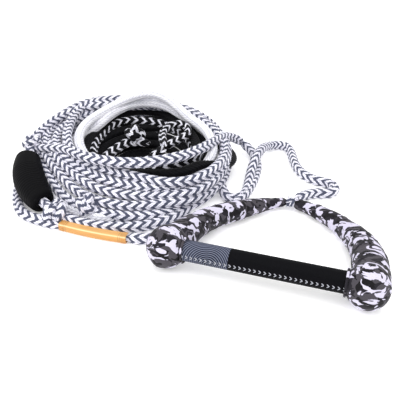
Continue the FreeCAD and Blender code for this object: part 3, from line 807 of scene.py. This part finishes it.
FLOAT_START, FLOAT_END, FLOAT_RADIUS, TIP_RADIUS, BORE_RADIUS = 202.8, 240.3, 24.5, 18.0, 8.9
LENGTHWISE, ROUND = 150, 56
RIDGES, RIDGE_DEPTH, END_SHARE, END_DROP, BORE_FLARE = 26, 0.55, 0.055, 5.0, 0.6
outline = []               # share of the length, radius: out along the skin, back along the bore
for i in range(LENGTHWISE):
    share = i / (LENGTHWISE - 1)
    round_off = min(share, 1 - share) / END_SHARE
    radius = TIP_RADIUS + (FLOAT_RADIUS - TIP_RADIUS) * (1 - (2 * share - 1) ** 2)
    if round_off < 1:
        radius -= END_DROP * (1 - math.sqrt(1 - (1 - round_off) ** 2))
    ridged = min(max((share - 0.30) / 0.05, 0), 1) * min(max((0.93 - share) / 0.05, 0), 1)
    radius -= RIDGE_DEPTH * ridged * (0.5 + 0.5 * math.cos(share * 2 * math.pi * RIDGES)) ** 3
    outline.append((share, radius))
outline += [(1.0, BORE_RADIUS + BORE_FLARE), (0.99, BORE_RADIUS), (0.5, BORE_RADIUS), (0.01, BORE_RADIUS),
            (0.0, BORE_RADIUS + BORE_FLARE)]
deselect_all()
bpy.ops.mesh.primitive_grid_add(x_subdivisions=ROUND, y_subdivisions=len(outline), size=1)
barrel = bpy.context.object
barrel.name = "float_barrel"
normal = Vector((0, -math.sin(FLOAT_LEAN), math.cos(FLOAT_LEAN)))
for vertex in barrel.data.vertices:
    share, radius = outline[round((vertex.co.y + 0.5) * len(outline)) % len(outline)]
    turn = 2 * math.pi * (vertex.co.x + 0.5)
    degrees = FLOAT_START + share * (FLOAT_END - FLOAT_START)
    middle = Vector(float_place(degrees))
    outward = (middle - Vector(FLOAT_CENTRE)).normalized()
    vertex.co = (middle + radius * (math.cos(turn) * outward + math.sin(turn) * normal)) * 0.001
bpy.context.view_layer.objects.active = barrel
bpy.ops.object.mode_set(mode="EDIT")
bpy.ops.mesh.select_all(action="SELECT")
bpy.ops.mesh.remove_doubles(threshold=0.00001)
bpy.ops.mesh.normals_make_consistent(inside=False)
bpy.ops.object.mode_set(mode="OBJECT")
smooth_all(barrel)
moulded, nodes, links, shader = new_finish("moulded_float_foam", (0.002, 0.002, 0.003), 0.6)
cells = add_noise(nodes, links, object_place(nodes, links), 1300, 2)
links.new(add_ramp(nodes, links, cells, [(0.3, (0.001, 0.001, 0.0015)), (0.75, (0.005, 0.005, 0.006))]),
          shader.inputs["Base Color"])
shader.inputs["Specular IOR Level"].default_value = FOAM_SPECULAR
add_bump(nodes, links, shader, cells, 0.00012, 0.5)
dress(barrel, moulded)
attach(barrel, "float")
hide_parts("rope_float")

# ------------------------------------------------------------------------------------------------
# The marker sleeve: a slim formed sleeve of gold-coloured plastic, pressed flat on the rope, with a
# raised band at each end, and a highlight painted along its upper edge.

# The pale colour of the highlight painted along the sleeve's upper edge.
PAINTED_EDGE_HIGHLIGHT = (1.0, 0.78, 0.42)
for name, colour, rough, parts in (
        ("gold_sleeve", (0.66, 0.315, 0.07), 0.38, ("marker_sleeve",)),
        ("gold_band", (0.56, 0.25, 0.045), 0.32, ("sleeve_band_left", "sleeve_band_right"))):
    gold, nodes, links, shader = new_finish(name, colour, rough)
    streaks = add_noise(nodes, links, object_place(nodes, links, (25, 500, 500)), 1.0, 3)
    tone = add_ramp(nodes, links, streaks, [
        (0.3, tuple(c * 0.8 for c in colour)), (0.7, tuple(c * 1.12 for c in colour))])
    place = nodes.new("ShaderNodeSeparateXYZ")
    links.new(object_place(nodes, links, location=(-SLEEVE_X, 0, 0)), place.inputs[0])
    # Painted highlight: a pale stripe along the upper edge where the light catches it, with a faint tint over
    # the top face.
    painted_highlight = add_ramp(nodes, links, add_math(nodes, links, "MULTIPLY", place.outputs["Z"], 50.0), [
        (0.0, NONE), (0.49, NONE), (0.54, (0.75,) * 3), (0.58, (0.75,) * 3), (0.62, (0.1,) * 3)])
    tone = add_mix(nodes, links, painted_highlight, tone, PAINTED_EDGE_HIGHLIGHT)
    scored = add_math(nodes, links, "ABSOLUTE", place.outputs["X"])
    scored = add_ramp(nodes, links, add_math(nodes, links, "MULTIPLY", scored, 18.0), [
        (0.0, FULL), (0.735, FULL), (0.745, (0.5,) * 3), (0.76, FULL), (0.785, FULL),
        (0.795, (0.55,) * 3), (0.81, FULL)])
    links.new(add_mix(nodes, links, 1.0, tone, scored, "MULTIPLY"), shader.inputs["Base Color"])
    shader.inputs["Coat Weight"].default_value = 0.3
    shader.inputs["Coat Roughness"].default_value = 0.25
    add_bump(nodes, links, shader, streaks, 0.0002, 0.3)
    for part_name in parts:
        dress(node[part_name], gold)

# ------------------------------------------------------------------------------------------------
# The surface it lies on, soft light from above, and the camera.

deselect_all()
bpy.ops.mesh.primitive_plane_add(size=8)
floor = bpy.context.object
floor.name = "floor"
paper, nodes, links, shader = new_finish("pale_paper", (0.93, 0.93, 0.93), 0.9)
shader.inputs["Emission Color"].default_value = (1, 1, 1, 1)
shader.inputs["Emission Strength"].default_value = 0.28
dress(floor, paper)

world = bpy.context.scene.world or bpy.data.worlds.new("world")
bpy.context.scene.world = world
world.use_nodes = True
world.node_tree.nodes["Background"].inputs["Color"].default_value = (1, 1, 1, 1)
world.node_tree.nodes["Background"].inputs["Strength"].default_value = 1.05
LAMPS_FACE = Vector((-0.15, 0.05, 0))
for name, place, size, power in (
        ("lamp_above", (0.2, -0.4, 1.5), 1.6, 12),
        ("lamp_left", (-1.3, -0.6, 1.1), 1.2, 6)):
    lamp_data = bpy.data.lights.new(name, "AREA")
    lamp_data.size = size
    lamp_data.energy = power
    lamp = bpy.data.objects.new(name, lamp_data)
    lamp.location = place
    lamp.rotation_euler = (LAMPS_FACE - Vector(place)).to_track_quat("-Z", "Y").to_euler()
    bpy.context.collection.objects.link(lamp)
bpy.context.scene.view_settings.view_transform = "Standard"

AZIMUTH, ELEVATION = math.radians(18.5513), math.radians(31)
CAMERA_PLACE = (0.100623, -0.629891, 0.450658)
back = Vector((math.sin(AZIMUTH) * math.cos(ELEVATION), -math.cos(AZIMUTH) * math.cos(ELEVATION),
               math.sin(ELEVATION)))
camera_data = bpy.data.cameras.new("camera")
camera_data.lens = 50
camera_data.sensor_width = 36
camera = bpy.data.objects.new("camera", camera_data)
camera.location = CAMERA_PLACE
camera.rotation_euler = (-back).to_track_quat("-Z", "Y").to_euler()
bpy.context.collection.objects.link(camera)
bpy.context.scene.camera = camera
